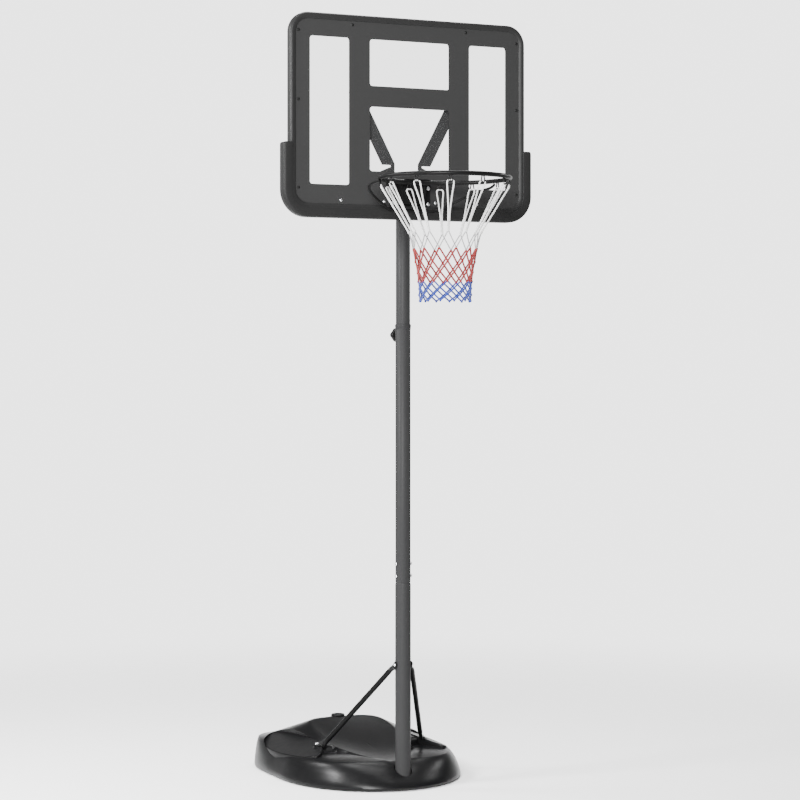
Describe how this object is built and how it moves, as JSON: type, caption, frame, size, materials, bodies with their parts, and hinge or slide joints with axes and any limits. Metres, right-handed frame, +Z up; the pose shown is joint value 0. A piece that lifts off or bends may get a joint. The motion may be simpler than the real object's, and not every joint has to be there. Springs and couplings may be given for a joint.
{
  "type": "portable basketball hoop",
  "caption": "Portable basketball hoop: clear-windowed board, rim and net on a telescoping pole with a ballast tank base.",
  "frame": {"origin": "on the floor, on the axis of the pole", "axes": "+Z up along the pole; -Y is the way the board faces, and the tank lies towards +Y"},
  "size_m": [1.0192, 1.399, 2.874],
  "materials": {
    "tank": "satin black, lightly grained",
    "pole_paint": "dark grey powder coat",
    "black_paint": "satin black",
    "zinc": "bright zinc",
    "facing": "satin mid grey",
    "frame": "satin dark grey",
    "clear": "clear, smooth",
    "black_plastic": "moulded black",
    "seal": "matte black",
    "net": "braided white cord with red and blue bands"
  },
  "bodies": {
    "base": {"axle_cap_left": "zinc", "axle_cap_right": "zinc", "base_tank": "tank", "joint_bolt_lower": "zinc", "joint_bolt_upper": "zinc", "joint_nut_lower": "zinc", "joint_nut_upper": "zinc", "lock_nut": "zinc", "pole_collar": "black_plastic", "pole_lower": "pole_paint", "pole_middle": "pole_paint", "strut_bolt_top": "zinc", "strut_foot_bolt_left": "zinc", "strut_foot_bolt_right": "zinc", "strut_left": "black_paint", "strut_nut_top": "zinc", "strut_right": "black_paint", "wheel_axle": "zinc"},
    "upper": {"pole_upper": "pole_paint", "pole_top_cap": "black_plastic", "rear_arm_left": "pole_paint", "rear_arm_right": "pole_paint", "pole_bracket": "pole_paint", "bracket_bolt_lower": "zinc", "bracket_bolt_upper": "zinc", "bracket_nut_lower": "zinc", "bracket_nut_upper": "zinc", "arm_bolt_left": "zinc", "arm_bolt_right": "zinc", "board_frame": "frame", "board_sheet": "clear", "board_facing": "facing", "board_guard": "frame", "panel_screw_top_left": "black_plastic", "panel_screw_top_right": "black_plastic", "panel_screw_upper_left": "black_plastic", "panel_screw_upper_right": "black_plastic", "panel_screw_middle_left": "black_plastic", "panel_screw_middle_right": "black_plastic", "panel_screw_lower_left": "black_plastic", "panel_screw_lower_right": "black_plastic", "board_bolt_inner_left": "zinc", "board_bolt_inner_right": "zinc", "board_bolt_outer_left": "zinc", "board_bolt_outer_right": "zinc", "rim_ring": "black_paint", "rim_mount": "black_paint", "rim_brace": "black_paint", "rim_bolt_lower_left": "zinc", "rim_bolt_lower_right": "zinc", "rim_bolt_upper_left": "zinc", "rim_bolt_upper_right": "zinc", "net": "net"},
    "wheel_left": {"wheel_left": "black_plastic"},
    "wheel_right": {"wheel_right": "black_plastic"},
    "cap": {"filler_cap": "black_plastic", "filler_gasket": "seal"},
    "knob": {"lock_knob": "black_plastic", "lock_screw": "zinc"}
  },
  "joints": [
    {"name": "height_adjust", "type": "slide", "parent": "base", "child": "upper", "axis": [0, 0, 1], "range_m": [-0.16, 0.35]},
    {"name": "wheel_left_spin", "type": "hinge", "parent": "base", "child": "wheel_left", "pos_m": [-0.233, 0.768, 0.0345], "axis": [1, 0, 0], "continuous": true},
    {"name": "wheel_right_spin", "type": "hinge", "parent": "base", "child": "wheel_right", "pos_m": [0.233, 0.768, 0.0345], "axis": [1, 0, 0], "continuous": true},
    {"name": "cap_lift", "type": "slide", "parent": "base", "child": "cap", "axis": [0, 0, 1], "range_m": [0, 0.06]},
    {"name": "knob_turn", "type": "hinge", "parent": "base", "child": "knob", "pos_m": [0, 0, 1.698], "axis": [0, 1, 0], "continuous": true}
  ]
}
